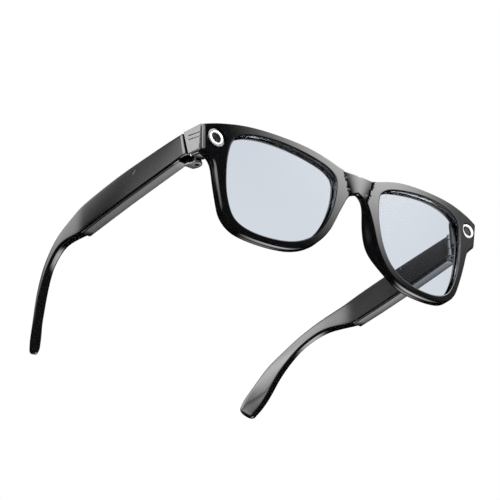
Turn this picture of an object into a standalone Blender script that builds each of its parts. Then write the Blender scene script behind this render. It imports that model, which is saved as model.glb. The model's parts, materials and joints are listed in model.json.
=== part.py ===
"""Smart glasses: front with camera and light, two folding temples with electronics inside.

Lengths in the design are millimetres in the wearer's frame: +X is the wearer's left, +Y goes
back to the ears, +Z is up.  settle() tips the whole thing so rims and temple tips stand on z = 0.
"""
import math

import bpy
from mathutils import Matrix, Vector

# ---- driving sizes (mm) -------------------------------------------------------------------
HALF_W = 72.0          # half width at the top front corners
WRAP = 0.0018          # face curve: y falls by WRAP * (HALF_W^2 - x^2)
LEAN = -0.119          # pantoscopic lean: y per z
CURL = 0.0019          # the face curls under: y per z squared
GAP = 0.3              # air between touching pieces
SHELL_T = 2.0          # front shell thickness
REAR_0, REAR_1 = 2.3, 4.6      # rear shell depth range
LIP_D, GROOVE_R = 1.2, 0.9     # lip in front of the lens, groove around it
LENS_0, LENS_1, LENS_R = 1.5, 3.1, 0.6
HINGE_X, HINGE_Y = 67.3, 11.3  # hinge pin
BARREL_R, PIN_R, HOLE_R = 1.9, 0.8, 1.1
CAM_X, CAM_Z = 66.2, -5.1      # camera / light centre
TILT = math.radians(2.22)
WALL = 0.9
SUB = 2                # points per outline span

# pairs (outer x, z, inner x, z) around one half of the front, from the top of the bridge
PAIRS = [
    (0, -4.5, 12.2, -8.6), (8, -4.2, 14.2, -6.7), (14, -2.3, 17.6, -5.0), (22, 0.0, 23.6, -3.4),
    (30, 1.3, 29.9, -2.1), (38, 2.1, 38, -0.95), (47, 2.7, 46, -0.6), (56, 2.6, 52.9, -1.3),
    (64, 1.6, 57.1, -2.9), (69, 0.7, 58.9, -4.6), (72, 0.0, 59.9, -6.8), (71.3, -10.8, 60.6, -10.3),
    (69, -12.0, 60.9, -12.9), (67.2, -13.8, 60.95, -15.2), (66.0, -16.5, 60.9, -18), (65, -21, 60.6, -22),
    (63.6, -26.5, 59.9, -26.6), (62.2, -31, 58.5, -31.2), (60.9, -34.8, 57, -34.4),
    (58.8, -37.7, 55.6, -36.3), (56.3, -39.8, 53.7, -37.8), (53, -41.5, 50.8, -39.2),
    (47, -42.8, 46, -40.4), (41, -43.4, 40, -40.9), (35.5, -43.5, 34.2, -40.75), (30, -43.1, 29, -39.9),
    (25.3, -42.0, 25, -38.5), (21, -40.1, 21.4, -36.5), (17.3, -37.3, 18.5, -34), (14, -33.6, 16, -30.6),
    (11.6, -29.8, 14.3, -27.3), (9.8, -25.5, 13, -23.8), (8.2, -21.8, 12.1, -20.6),
    (6.7, -18.6, 11.55, -17.4), (5.1, -15.3, 11.35, -14.3), (3, -13.1, 11.3, -12.4), (0, -12.2, 11.5, -10.5)]
SHARP = {0, 10, 11, 36}        # corners kept crisp
FLEX = [(0, -7.4), (7, -6.4), (13, -4.4), (17.5, -3.0), (23.3, -1.45), (30, 0.0), (38, 1.1),
        (46, 1.4), (53.7, 0.7), (59, -0.8), (63.4, -2.4)]
# temple stations: y, x centre, top z, bottom z of the whole section, thickness
ARM = [(8.0, 70.95, 0.8, -10.5, 5.2), (13.4, 71.3, 1.0, -10.7, 5.2), (26, 71.9, 1.3, -11.2, 5.2),
       (50, 72.8, 1.5, -12.0, 5.2), (66, 73.1, 1.1, -12.5, 5.2), (79, 73.15, 0.5, -12.8, 5.1)]
# ear hook: x, y, z centre, height, thickness, roll in degrees (lower edge out)
HOOK = [(73.1, 83.3, -5.9, 12.0, 5.0, 0), (72.8, 87.5, -5.6, 10.5, 4.7, 0), (70.9, 103, -5.4, 6.5, 4.2, 0),
        (68.3, 115.8, -8.6, 5.6, 3.7, 0), (66.0, 124, -13.4, 6.3, 3.9, 2), (63.4, 131.3, -19.3, 7.9, 4.3, 6),
        (60.7, 138.4, -28.0, 9.3, 4.4, 10), (58.6, 142.9, -33.2, 9.2, 4.3, 12), (58.0, 144.2, -35.0, 8.2, 4.1, 12),
        (57.4, 145.4, -36.8, 4.6, 2.4, 12)]


def face_y(x, z):
    return LEAN * z + CURL * z * z - WRAP * (HALF_W ** 2 - x * x)


def lerp_table(table, key, col):
    for a, b in zip(table, table[1:]):
        if key <= b[0]:
            break
    t = (key - a[0]) / (b[0] - a[0])
    return a[col] + t * (b[col] - a[col])


def arm_at(y):
    return [lerp_table(ARM, y, c) for c in (1, 2, 3, 4)]


def catmull(p0, p1, p2, p3, t):
    return tuple(0.5 * (2 * b + (c - a) * t + (2 * a - 5 * b + 4 * c - d) * t * t
                        + (3 * b - a - 3 * c + d) * t ** 3) for a, b, c, d in zip(p0, p1, p2, p3))


def columns():
    out = []
    n = len(PAIRS)
    for i in range(n - 1):
        p1, p2 = PAIRS[i], PAIRS[i + 1]
        p0 = p1 if i in SHARP else PAIRS[i - 1]
        p3 = p2 if i + 1 in SHARP else PAIRS[min(i + 2, n - 1)]
        for k in range(SUB):
            q = catmull(p0, p1, p2, p3, k / SUB)
            out.append(q)
    out.append(PAIRS[-1])
    return out


COLS = columns()

# ---- materials ----------------------------------------------------------------------------
LOOKS = {
    "gloss_black": ((0.012, 0.012, 0.014), 0.0, 0.12), "satin_black": ((0.03, 0.03, 0.033), 0.0, 0.38),
    "grey_trim": ((0.30, 0.31, 0.33), 0.4, 0.35), "tinted_lens": ((0.66, 0.71, 0.78), 0.0, 0.05),
    "bright_ring": ((0.75, 0.76, 0.78), 1.0, 0.2), "dark_glass": ((0.01, 0.012, 0.02), 0.0, 0.04),
    "lens_barrel": ((0.02, 0.02, 0.022), 0.0, 0.3), "steel": ((0.5, 0.5, 0.52), 1.0, 0.3),
    "board_green": ((0.02, 0.16, 0.08), 0.0, 0.45), "flex_amber": ((0.45, 0.2, 0.04), 0.0, 0.4),
    "cell_foil": ((0.55, 0.56, 0.58), 0.8, 0.4), "speaker_body": ((0.08, 0.08, 0.09), 0.3, 0.4),
    "mesh_black": ((0.02, 0.02, 0.02), 0.2, 0.6), "contact_gold": ((0.8, 0.55, 0.2), 1.0, 0.25),
    "light_diffuser": ((0.85, 0.86, 0.88), 0.0, 0.3)}


def look(name):
    m = bpy.data.materials.get(name)
    if m is None:
        m = bpy.data.materials.new(name)
        m.use_nodes = True
        b = m.node_tree.nodes["Principled BSDF"]
        c, metal, rough = LOOKS[name]
        b.inputs["Base Color"].default_value = (*c, 1)
        b.inputs["Metallic"].default_value = metal
        b.inputs["Roughness"].default_value = rough
        m.diffuse_color = (*c, 1)
    return m


# ---- mesh helpers -------------------------------------------------------------------------
def body(name, verts, faces, mat=None):
    me = bpy.data.meshes.new(name)
    me.from_pydata([tuple(v) for v in verts], [], [tuple(f) for f in faces])
    me.validate()
    me.update()
    ob = bpy.data.objects.new(name, me)
    bpy.context.scene.collection.objects.link(ob)
    if mat:
        me.materials.append(look(mat))
    return ob


def out_facing(ob):
    import bmesh
    bm = bmesh.new()
    bm.from_mesh(ob.data)
    bmesh.ops.remove_doubles(bm, verts=bm.verts, dist=1e-4)
    bmesh.ops.recalc_face_normals(bm, faces=bm.faces)
    bm.to_mesh(ob.data)
    bm.free()
    return ob


def loft(name, rings, mat=None):
    n = len(rings[0])
    verts = [p for r in rings for p in r]
    faces = []
    for k in range(len(rings) - 1):
        for i in range(n):
            j = (i + 1) % n
            faces.append((k * n + i, k * n + j, (k + 1) * n + j, (k + 1) * n + i))
    faces.append(tuple(range(n - 1, -1, -1)))
    faces.append(tuple((len(rings) - 1) * n + i for i in range(n)))
    return out_facing(body(name, verts, faces, mat))


def box(name, x0, x1, y0, y1, z0, z1, mat=None):
    r = [[(x0, y, z0), (x1, y, z0), (x1, y, z1), (x0, y, z1)] for y in (y0, y1)]
    return loft(name, r, mat)


def disc_y(name, x, z, r, y0, y1, mat=None, n=32, bore=0.0):
    """Round piece along Y; with a bore it is a ring."""
    rings = []
    for y in (y0, y1):
        rings.append([(x + r * math.cos(2 * math.pi * k / n), y, z + r * math.sin(2 * math.pi * k / n))
                      for k in range(n)])
    if not bore:
        return loft(name, rings, mat)
    prof = [(r - 0.15, y0), (r, y0 + 0.15), (r, y1), (bore, y1), (bore, y0 + 0.25), (bore + 0.2, y0)]
    verts, faces = [], []
    for k in range(n):
        a = 2 * math.pi * k / n
        verts += [(x + q * math.cos(a), y, z + q * math.sin(a)) for q, y in prof]
    m = len(prof)
    for k in range(n):
        for i in range(m):
            faces.append((k * m + i, k * m + (i + 1) % m, ((k + 1) % n) * m + (i + 1) % m,
                          ((k + 1) % n) * m + i))
    return out_facing(body(name, verts, faces, mat))


def post_z(name, x, y, r, z0, z1, mat=None, n=24):
    rings = [[(x + r * math.cos(2 * math.pi * k / n), y + r * math.sin(2 * math.pi * k / n), z)
              for k in range(n)] for z in (z0, z1)]
    return loft(name, rings, mat)


def boolean(ob, other, op="DIFFERENCE"):
    m = ob.modifiers.new(op.lower(), "BOOLEAN")
    m.operation = op
    m.solver = "EXACT"
    m.object = other
    bpy.context.view_layer.update()
    ev = ob.evaluated_get(bpy.context.evaluated_depsgraph_get())
    me = bpy.data.meshes.new_from_object(ev)
    ob.modifiers.clear()
    old = ob.data
    ob.data = me
    me.name = ob.name
    bpy.data.meshes.remove(old)
    bpy.data.objects.remove(other)
    return ob


def mirror(ob, name):
    me = ob.data.copy()
    me.name = name
    for v in me.vertices:
        v.co.x = -v.co.x
    me.flip_normals()
    new = bpy.data.objects.new(name, me)
    bpy.context.scene.collection.objects.link(new)
    return new


# ---- the two front shells -----------------------------------------------------------------
def pad_bulge(z):
    """How far the nose pad stands out of the rear shell at this height."""
    t = (z + 27.0) / 13.0
    return max(0.0, 1 - t * t) ** 1.5


def ring_half(profile, sign):
    """profile(outer, inner) -> list of (x, y, z); index lists for skipping at the centre line."""
    return [profile(c, i, sign) for i, c in enumerate(COLS)]


def front_profile(c, i, sign):
    ox, oz, ix, iz = c
    w = math.hypot(ox - ix, oz - iz)
    ux, uz = (ox - ix) / w, (oz - iz) / w
    end = i in (0, len(COLS) - 1)
    pts = []
    for r, d in ((0, 0.15), (0.1, LIP_D), (GROOVE_R, LIP_D), (GROOVE_R, SHELL_T),
                 (w, SHELL_T), (w, 0.5), (w - 0.5, 0)):
        x, z = ix + ux * r, iz + uz * r
        if end and r == w - 0.5:
            x, z = 0.0, oz - math.copysign(0.5, oz + 8.3)
        if r == 0:
            x, z = ix, iz
        pts.append((sign * x, face_y(x, z) + d, z))
    return pts


def rear_profile(c, i, sign):
    ox, oz, ix, iz = c
    w = math.hypot(ox - ix, oz - iz)
    ux, uz = (ox - ix) / w, (oz - iz) / w
    end = i in (0, len(COLS) - 1)
    nose = pad_bulge(oz) if ox < 20 and oz < -13 and not end else 0.0
    pts = []
    for k, (r, d) in enumerate(((GROOVE_R, REAR_0), (GROOVE_R, LENS_1 + GAP), (0.1, LENS_1 + GAP),
                                (0.4, REAR_1 - 0.3), (w * 0.5, REAR_1 + 1.4 * nose),
                                (w - 0.6 + 1.2 * nose, REAR_1 + 4.2 * nose),
                                (w + 1.3 * nose, REAR_1 - 0.8 + 2.8 * nose), (w, REAR_0))):
        x, z = ix + ux * r, iz + uz * r
        if end and k == 5:
            x, z = 0.0, oz - math.copysign(0.6, oz + 8.3)
        pts.append((sign * x, face_y(x, z) + d, z))
    return pts


def shell(name, profile, wall, mat):
    """Both halves of a shell; wall = profile edges left open on the centre line."""
    verts, faces = [], []
    for sign in (1, -1):
        base = len(verts)
        cols = ring_half(profile, sign)
        m, n = len(cols[0]), len(cols)
        for c in cols:
            verts += c
        for k in range(n):
            j = (k + 1) % n
            for i in range(m):
                q = (i + 1) % m
                if k == n - 1 and i in wall:
                    continue
                f = (base + k * m + i, base + k * m + q, base + j * m + q, base + j * m + i)
                faces.append(f if sign > 0 else f[::-1])
    return out_facing(body(name, verts, faces, mat))


def sweep_brow(name, half, d0, d1, mat=None):
    """Strip along the brow from one end piece to the other."""
    path = [(-x, z) for x, z in FLEX[:0:-1]] + FLEX
    rings = []
    for k, (x, z) in enumerate(path):
        a, b = path[max(k - 1, 0)], path[min(k + 1, len(path) - 1)]
        tx, tz = b[0] - a[0], b[1] - a[1]
        s = math.hypot(tx, tz)
        nx, nz = -tz / s * half, tx / s * half
        y = face_y(x, z)
        rings.append([(x + nx, y + d0, z + nz), (x - nx, y + d0, z - nz),
                      (x - nx, y + d1, z - nz), (x + nx, y + d1, z + nz)])
    return loft(name, rings, mat)


def end_cut(sign):
    """Space behind the face's outer edge where the side plate sits."""
    r = []
    for z in (-14.0, 4.0):
        y0 = LEAN * z + 1.1
        r.append([(sign * 70.9, y0, z), (sign * 76, y0, z), (sign * 76, y0 + 12, z),
                  (sign * 72.2, y0 + 12, z)])
    return loft("cut", r)


def split_y(z):
    """Slanted joint between end piece and temple."""
    return 8.9 + (z + 11.5) * 0.19


def end_block(sign):
    """Housing behind the end of the face."""
    rings = []
    for z in (-11.0, -10.4, 0.2, 0.7):
        i = 0.5 if z in (-11.0, 0.7) else 0.0
        yb = split_y(z) - 0.2
        pts = [(61.6 + i, 2.4), (70.4, 4.2), (72.0 - i, yb - i), (66.5 + i, yb - i), (66.3 + i, 7.3 - i),
               (61.6 + i, 6.9 - i)]
        rings.append([(sign * x, y, z) for x, y in pts])
    return loft("block", rings)


def build_front():
    front = shell("front_shell", front_profile, (4, 5), "gloss_black")
    rear = shell("rear_shell", rear_profile, (5, 6), "satin_black")
    for s in (1, -1):
        boolean(rear, end_block(s), "UNION")
    for s in (1, -1):
        boolean(front, end_cut(s))
        boolean(rear, end_cut(s))
        boolean(front, disc_y("cut", s * CAM_X, CAM_Z, 3.5, -6, 6, n=40))
        boolean(rear, box("cut", *sorted((s * 62.9, s * 69.6)), -3, 6.1, -9.6, -0.8))
        boolean(rear, post_z("cut", s * HINGE_X, HINGE_Y, BARREL_R + 0.4, -14, 4, n=32))
        boolean(rear, box("cut", *sorted((s * 66.4, s * 68.2)), 7.0, 12, -8.9, -3.9))
    boolean(rear, sweep_brow("cut", 0.6, 1.6, 3.8))
    sweep_brow("front_flex", 0.3, 2.6, 3.5, "flex_amber")
    return front, rear


def build_lens():
    """Plano lens following the face curve, edge held in the groove."""
    loop = []
    for ox, oz, ix, iz in COLS:
        w = math.hypot(ox - ix, oz - iz)
        loop.append((ix + (ox - ix) / w * LENS_R, iz + (oz - iz) / w * LENS_R))
    cx, cz = 36.5, -22.0
    n = len(loop)
    verts, faces = [], []
    for side, d in ((0, LENS_0), (1, LENS_1)):
        for s in (1.0, 0.72, 0.4):
            for x, z in loop:
                px, pz = cx + (x - cx) * s, cz + (z - cz) * s
                verts.append((px, face_y(px, pz) + d, pz))
        verts.append((cx, face_y(cx, cz) + d, cz))
    half = 3 * n + 1
    for side in (0, 1):
        b = side * half
        for k in range(2):
            for i in range(n):
                j = (i + 1) % n
                faces.append((b + k * n + i, b + k * n + j, b + (k + 1) * n + j, b + (k + 1) * n + i))
        for i in range(n):
            faces.append((b + 2 * n + i, b + 2 * n + (i + 1) % n, b + 3 * n))
    for i in range(n):
        j = (i + 1) % n
        faces.append((i, j, half + j, half + i))
    ob = out_facing(body("lens_left", verts, faces, "tinted_lens"))
    mirror(ob, "lens_right")


def build_eyes():
    """Camera on the wearer's right, light on the wearer's left."""
    y = face_y(CAM_X, CAM_Z)
    for s, who in ((-1, "camera"), (1, "light")):
        disc_y(who + "_ring", s * CAM_X, CAM_Z, 3.2, y - 0.05, y + 1.4, "bright_ring", 40, 2.3)
        pane = "dark_glass" if s < 0 else "light_diffuser"
        disc_y(who + "_window", s * CAM_X, CAM_Z, 2.0, y + 0.45, y + 1.15, pane, 32)
    disc_y("camera_barrel", -CAM_X, CAM_Z, 2.7, y + 1.75, y + 4.7, "lens_barrel", 28)
    box("camera_board", -69.1, -63.3, y + 5.0, y + 5.7, -9.1, -1.2 - 1.0, "board_green")
    led = disc_y("light_board", CAM_X, CAM_Z, 2.9, y + 2.6, y + 3.4, "board_green", 28)
    boolean(led, box("chip", CAM_X - 1, CAM_X + 1, y + 1.8, y + 2.8, CAM_Z - 1, CAM_Z + 1), "UNION")


def build_plate(sign, name):
    """Side plate with two engraved lines that start at its front edge."""
    rings = []
    for z in (-10.2, -9.9, 0.4, 0.7):
        i = 0.25 if z in (-10.2, 0.7) else 0.0
        y0 = LEAN * z + 1.95
        y1 = split_y(z)
        x0, x1 = 72.05 - i, 72.05 + (y1 - y0) * 0.19 - i
        rings.append([(sign * (x0 - 0.8 + i), y0, z), (sign * x0, y0, z), (sign * x1, y1, z),
                      (sign * (x1 - 0.8 + i), y1, z)])
    ob = loft(name, rings, "grey_trim")
    for zc in (-3.35, -5.2):
        r = []
        for y, dz in ((0.0, 0.0), (8.4, 1.15), (8.7, 1.19)):
            h = 0.12 if y == 8.7 else 0.26
            x = 72.05 + (y - 2.5) * 0.19
            r.append([(sign * (x - 0.35), y, zc + dz - h), (sign * (x + 1), y, zc + dz - h),
                      (sign * (x + 1), y, zc + dz + h), (sign * (x - 0.35), y, zc + dz + h)])
        boolean(ob, loft("cut", r))
    return ob


# ---- hinge --------------------------------------------------------------------------------
def build_hinge(sign, side):
    hx = sign * HINGE_X
    leaf = post_z("front_leaf_" + side, hx, HINGE_Y, BARREL_R, -8.3, -4.5, "steel")
    boolean(leaf, box("foot", hx - 0.6, hx + 0.6, 7.4, HINGE_Y - 1.2, -8.3, -4.5), "UNION")
    boolean(leaf, post_z("cut", hx, HINGE_Y, HOLE_R, -12, 2))
    arm = post_z("temple_leaf_" + side, hx, HINGE_Y, BARREL_R, -11.2, -8.7, "steel")
    top = post_z("b", hx, HINGE_Y, BARREL_R, -4.1, -1.6)
    boolean(arm, top, "UNION")
    boolean(arm, along("p", sign, HINGE_Y + 1.0, 22.0, -1.4, -0.4, lambda y: -1.6, lambda y: -8.9), "UNION")
    for z0, z1 in ((-11.2, -8.7), (-4.1, -1.6)):
        pts = [(0.3, 1.8), (1.8, 0.3), (3.4, 0.6), (3.4, 3.2), (1.6, 3.2)]
        r = [[(sign * (HINGE_X + x), HINGE_Y + y, z) for x, y in pts] for z in (z0, z1)]
        boolean(arm, loft("w", r), "UNION")
    boolean(arm, post_z("cut", hx, HINGE_Y, HOLE_R, -13, 2))
    pin = post_z("hinge_screw_" + side, hx, HINGE_Y, PIN_R, -11.7, -1.5, "steel", 20)
    boolean(pin, post_z("h", hx, HINGE_Y, 1.5, -12.1, -11.5, None, 20), "UNION")
    boolean(pin, box("cut", hx - 1.1, hx + 1.1, HINGE_Y - 0.2, HINGE_Y + 0.2, -12.5, -11.85))


# ---- temples ------------------------------------------------------------------------------
def rounded(cx, cz, a, b, r):
    """12-point rounded rectangle, half sizes a (thickness) and b (height)."""
    pts = []
    for sx, sz, start in ((1, 1, 0), (-1, 1, 90), (-1, -1, 180), (1, -1, 270)):
        for k in range(3):
            t = math.radians(start + 45 * k)
            pts.append((cx + sx * (a - r) + r * math.cos(t), cz + sz * (b - r) + r * math.sin(t)))
    return pts


def arm_rings(sign):
    rings = []
    for y, xc, zt, zb, t in ARM:
        zb += 1.2
        pts = rounded(xc, (zt + zb) / 2, t / 2, (zt - zb) / 2, 0.7)
        rings.append([(sign * x, y, z) for x, z in pts])
    pth = [Vector((73.15, 79, -5.5))] + [Vector(h[:3]) for h in HOOK]
    for k, (x, y, z, h, t, roll) in enumerate(HOOK):
        i = k + 1
        tan = (pth[min(i + 1, len(pth) - 1)] - pth[i - 1]).normalized()
        up = (Vector((0, 0, 1)) - tan * tan.z).normalized()
        turn = Matrix.Rotation(-math.radians(roll), 3, tan)
        out, up = turn @ tan.cross(up), turn @ up
        r = min(1.4, t / 2 - 0.2, h / 2 - 0.2)
        ring = []
        for a, b in rounded(0, 0, t / 2, h / 2, r):
            p = pth[i] + out * a + up * b
            ring.append((sign * p.x, p.y, p.z))
        rings.append(ring)
    return rings


def along(name, sign, y0, y1, a0, a1, top, bottom, mat=None):
    """Bar inside the arm: a0..a1 across from the centre, top/bottom functions of y."""
    ys = sorted({y0, y1} | {s[0] for s in ARM if y0 < s[0] < y1})
    rings = []
    for y in ys:
        xc = arm_at(y)[0]
        rings.append([(sign * (xc + a), y, f(y)) for a, f in
                      ((a0, bottom), (a1, bottom), (a1, top), (a0, top))])
    return loft(name, rings, mat)


def core_path(sign, radius, start, name, mat=None, last=7):
    pts = [Vector((73.1, start, -5.5))] + [Vector(h[:3]) for h in HOOK[:last]]
    rings = []
    for k, p in enumerate(pts):
        tan = (pts[min(k + 1, len(pts) - 1)] - pts[max(k - 1, 0)]).normalized()
        up = (Vector((0, 0, 1)) - tan * tan.z).normalized()
        out = tan.cross(up)
        ring = []
        for i in range(8):
            a = math.radians(22.5 + 45 * i)
            q = p + (out * math.cos(a) + up * math.sin(a)) * radius
            ring.append((sign * q.x, q.y, q.z))
        rings.append(ring)
    return loft(name, rings, mat)


def oblong(name, sign, y, z, long, short, x0, x1, tilt, mat=None):
    rings = []
    for x in (x0, x1):
        ring = []
        for k in range(16):
            a = 2 * math.pi * k / 16
            u = math.copysign((long - short) / 2, math.cos(a)) + short / 2 * math.cos(a)
            v = short / 2 * math.sin(a)
            ring.append((sign * x, y + u * math.cos(tilt) - v * math.sin(tilt),
                         z + u * math.sin(tilt) + v * math.cos(tilt)))
        rings.append(ring)
    return loft(name, rings, mat)


def full_top(y):
    return arm_at(y)[1]


def full_bottom(y):
    return arm_at(y)[2]


def build_temple(sign, side):
    arm = loft("temple_shell_" + side, arm_rings(sign), "satin_black")
    # slanted front end, swept clear of the hinge barrels
    r = [[(sign * 60, -5, z), (sign * 80, -5, z), (sign * 80, split_y(z) + GAP, z),
          (sign * 60, split_y(z) + GAP, z)] for z in (-16.0, 6.0)]
    boolean(arm, loft("cut", r))
    boolean(arm, post_z("cut", sign * HINGE_X, HINGE_Y, BARREL_R + 0.4, -16, 6, n=32))
    boolean(arm, box("cut", *sorted((sign * 66, sign * 71.1)), 11.0, 14.9, -16, -1.2))
    # compartment, open below
    in_w = 2.6 - WALL
    boolean(arm, along("cut", sign, 12.6, 77.0, -in_w, in_w, lambda y: full_top(y) - 1.0,
                       lambda y: full_bottom(y) - 2))
    boolean(arm, core_path(sign, 0.95, 75.5, "cut"))
    # bottom cover with a rib that locates it in the compartment
    cover = along("bottom_cover_" + side, sign, 15.3, 80.4, -2.5, 2.0, lambda y: full_bottom(y) + 0.9,
                  full_bottom, "satin_black")
    rib = along("rib", sign, 24.0, 76.5, -1.3, 1.3, lambda y: full_bottom(y) + 1.9,
                lambda y: full_bottom(y) + 0.5)
    boolean(cover, rib, "UNION")
    # microphone port in the outer wall
    y, z = 44.0, -2.0
    xo = arm_at(y)[0] + 2.6
    boolean(arm, oblong("cut", sign, y, z, 3.2, 1.6, xo - 1.5, xo + 1, math.radians(-35)))
    oblong("mic_port_" + side, sign, y, z, 2.6, 1.0, xo - 0.8, xo - 0.15, math.radians(-35), "mesh_black")
    # speaker with a grille in the top edge
    boolean(arm, along("cut", sign, 66.7, 75.3, -1.3, 1.3, lambda y: full_top(y) + 1,
                       lambda y: full_top(y) - 2))
    along("speaker_grille_" + side, sign, 67.0, 75.0, -1.0, 1.0, lambda y: full_top(y) - 0.05,
          lambda y: full_top(y) - 0.75, "mesh_black")
    along("speaker_" + side, sign, 66.0, 76.0, -1.35, 1.35, lambda y: full_top(y) - 1.3,
          lambda y: full_bottom(y) + 2.4, "speaker_body")
    along("antenna_" + side, sign, 28.0, 62.0, -1.2, 0.9, lambda y: full_top(y) - 1.4,
          lambda y: full_top(y) - 1.8, "contact_gold")
    core_path(sign, 0.6, 78.6, "tip_core_" + side, "steel")
    return arm


def comp(name, sign, y0, y1, mat, a0=-1.4, a1=0.6):
    return along(name, sign, y0, y1, a0, a1, lambda y: full_top(y) - 2.2,
                 lambda y: full_bottom(y) + 2.4, mat)


def fit_temple_parts(arm_l, arm_r):
    comp("battery_left", 1, 24.0, 64.5, "cell_foil", -1.35, 1.35)
    comp("battery_right", -1, 49.5, 64.5, "cell_foil", -1.35, 1.35)
    board = along("main_board_right", -1, 24.0, 48.5, -0.9, -0.3, lambda y: full_top(y) - 2.2,
                  lambda y: full_bottom(y) + 2.4, "board_green")
    boolean(board, along("chip", -1, 27.0, 34.0, -0.5, 0.5, lambda y: -3.2, lambda y: -8.6), "UNION")
    boolean(board, along("chip", -1, 38.0, 44.0, -0.5, 0.35, lambda y: -4.0, lambda y: -8.0), "UNION")
    along("touch_sensor_right", -1, 26.0, 48.0, 0.95, 1.3, lambda y: -4.2, lambda y: -9.2, "flex_amber")
    # two charging contacts through the inner wall
    for tag, y in (("front", 29.0), ("rear", 34.0)):
        xc = arm_at(y)[0] - 2.6
        boolean(arm_r, oblong("cut", -1, y, -5.5, 2.61, 2.6, xc - 1, xc + 1.2, 0))
        oblong("contact_" + tag, -1, y, -5.5, 2.01, 2.0, xc + 0.1, xc + 0.85, 0, "contact_gold")
    # capture button in the top edge
    boolean(arm_r, along("cut", -1, 17.7, 25.3, -1.3, 1.3, lambda y: full_top(y) + 1,
                         lambda y: full_top(y) - 2))
    along("capture_button", -1, 18.0, 25.0, -1.0, 1.0, lambda y: full_top(y) + 0.25,
          lambda y: full_top(y) - 1.5, "grey_trim")


# ---- build --------------------------------------------------------------------------------
def settle():
    """Millimetres to metres, tipped so that rims and tips stand on the floor, centred."""
    tip = Matrix.Rotation(-TILT, 4, "X")
    obs = [o for o in bpy.context.scene.objects if o.type == "MESH"]
    lo = [1e9] * 3
    hi = [-1e9] * 3
    for o in obs:
        for v in o.data.vertices:
            v.co = tip @ v.co
            for k in range(3):
                lo[k] = min(lo[k], v.co[k])
                hi[k] = max(hi[k], v.co[k])
    move = Vector((0.0, -(lo[1] + hi[1]) / 2, -lo[2]))
    for o in obs:
        for v in o.data.vertices:
            v.co = (v.co + move) * 0.001
        o.data.update()
    return tip, move


def hang(names, parent_name, point, tip, move, axis_up=True):
    """Empty on the joint, its pieces as children."""
    e = bpy.data.objects.new(parent_name, None)
    bpy.context.scene.collection.objects.link(e)
    e.empty_display_size = 0.005
    e.matrix_world = Matrix.Translation((tip @ Vector(point) + move) * 0.001) @ tip
    bpy.context.view_layer.update()
    for n in names:
        o = bpy.data.objects[n]
        o.parent = e
        o.matrix_parent_inverse = e.matrix_world.inverted()


for old in list(bpy.data.objects):
    bpy.data.objects.remove(old)
build_front()
build_lens()
build_eyes()
build_plate(1, "side_plate_left")
build_plate(-1, "side_plate_right")
build_hinge(1, "left")
build_hinge(-1, "right")
left = build_temple(1, "left")
right = build_temple(-1, "right")
fit_temple_parts(left, right)
TIP, MOVE = settle()
SHARED = ["temple_shell", "bottom_cover", "mic_port", "speaker_grille", "speaker", "antenna",
          "tip_core", "temple_leaf", "battery"]
hang([s + "_left" for s in SHARED], "temple_joint_left", (HINGE_X, HINGE_Y, -6.4), TIP, MOVE)
hang([s + "_right" for s in SHARED] + ["main_board_right", "touch_sensor_right", "contact_front",
     "contact_rear"], "temple_joint_right", (-HINGE_X, HINGE_Y, -6.4), TIP, MOVE)
hang(["capture_button"], "button_joint", (-71.8, 21.5, 1.2), TIP, MOVE)
print("MOVE", tuple(round(v, 4) for v in MOVE))
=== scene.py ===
"""Smart glasses dressed for close viewing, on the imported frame.

Everything is drawn in millimetres in the wearer's frame (+X the wearer's left, +Y back to the
ears, +Z up, zero between the top front corners) and then placed where the left hinge pin is.
"""
import json
import math

import bmesh
import bpy
from mathutils import Matrix, Vector


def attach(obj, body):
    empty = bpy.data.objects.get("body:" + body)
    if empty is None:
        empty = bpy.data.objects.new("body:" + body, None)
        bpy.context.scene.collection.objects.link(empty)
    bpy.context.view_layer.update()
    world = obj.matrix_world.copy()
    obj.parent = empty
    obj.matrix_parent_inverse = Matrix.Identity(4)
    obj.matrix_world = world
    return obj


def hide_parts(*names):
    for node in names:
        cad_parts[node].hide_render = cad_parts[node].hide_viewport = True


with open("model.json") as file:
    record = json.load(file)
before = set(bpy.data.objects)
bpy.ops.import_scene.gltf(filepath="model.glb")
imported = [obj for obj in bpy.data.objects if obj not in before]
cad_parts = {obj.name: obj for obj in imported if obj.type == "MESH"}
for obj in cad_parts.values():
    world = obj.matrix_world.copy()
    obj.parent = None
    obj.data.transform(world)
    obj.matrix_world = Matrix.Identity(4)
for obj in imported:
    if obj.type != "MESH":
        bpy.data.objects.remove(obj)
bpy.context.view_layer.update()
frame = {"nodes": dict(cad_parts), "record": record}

# ==== Stage and lights =======================================================================
# A pale floor far below and a dark studio with large soft boxes for the gloss to catch. The white
# backdrop shows only to the camera itself and through the lenses.
def spot_on_sky(nodes, links, towards, inner, outer, power):
    """Soft round patch of light on the studio walls, as a value node; angles in degrees."""
    coord = nodes.new("ShaderNodeTexCoord")
    dot = nodes.new("ShaderNodeVectorMath")
    dot.operation = "DOT_PRODUCT"
    dot.inputs[1].default_value = Vector(towards).normalized()
    links.new(coord.outputs["Generated"], dot.inputs[0])
    angle = nodes.new("ShaderNodeMath")
    angle.operation = "ARCCOSINE"
    links.new(dot.outputs["Value"], angle.inputs[0])
    fade = nodes.new("ShaderNodeMapRange")
    fade.interpolation_type = "SMOOTHSTEP"
    fade.inputs["From Min"].default_value = math.radians(inner)
    fade.inputs["From Max"].default_value = math.radians(outer)
    fade.inputs["To Min"].default_value = power
    fade.inputs["To Max"].default_value = 0.0
    links.new(angle.outputs["Value"], fade.inputs["Value"])
    return fade


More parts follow.
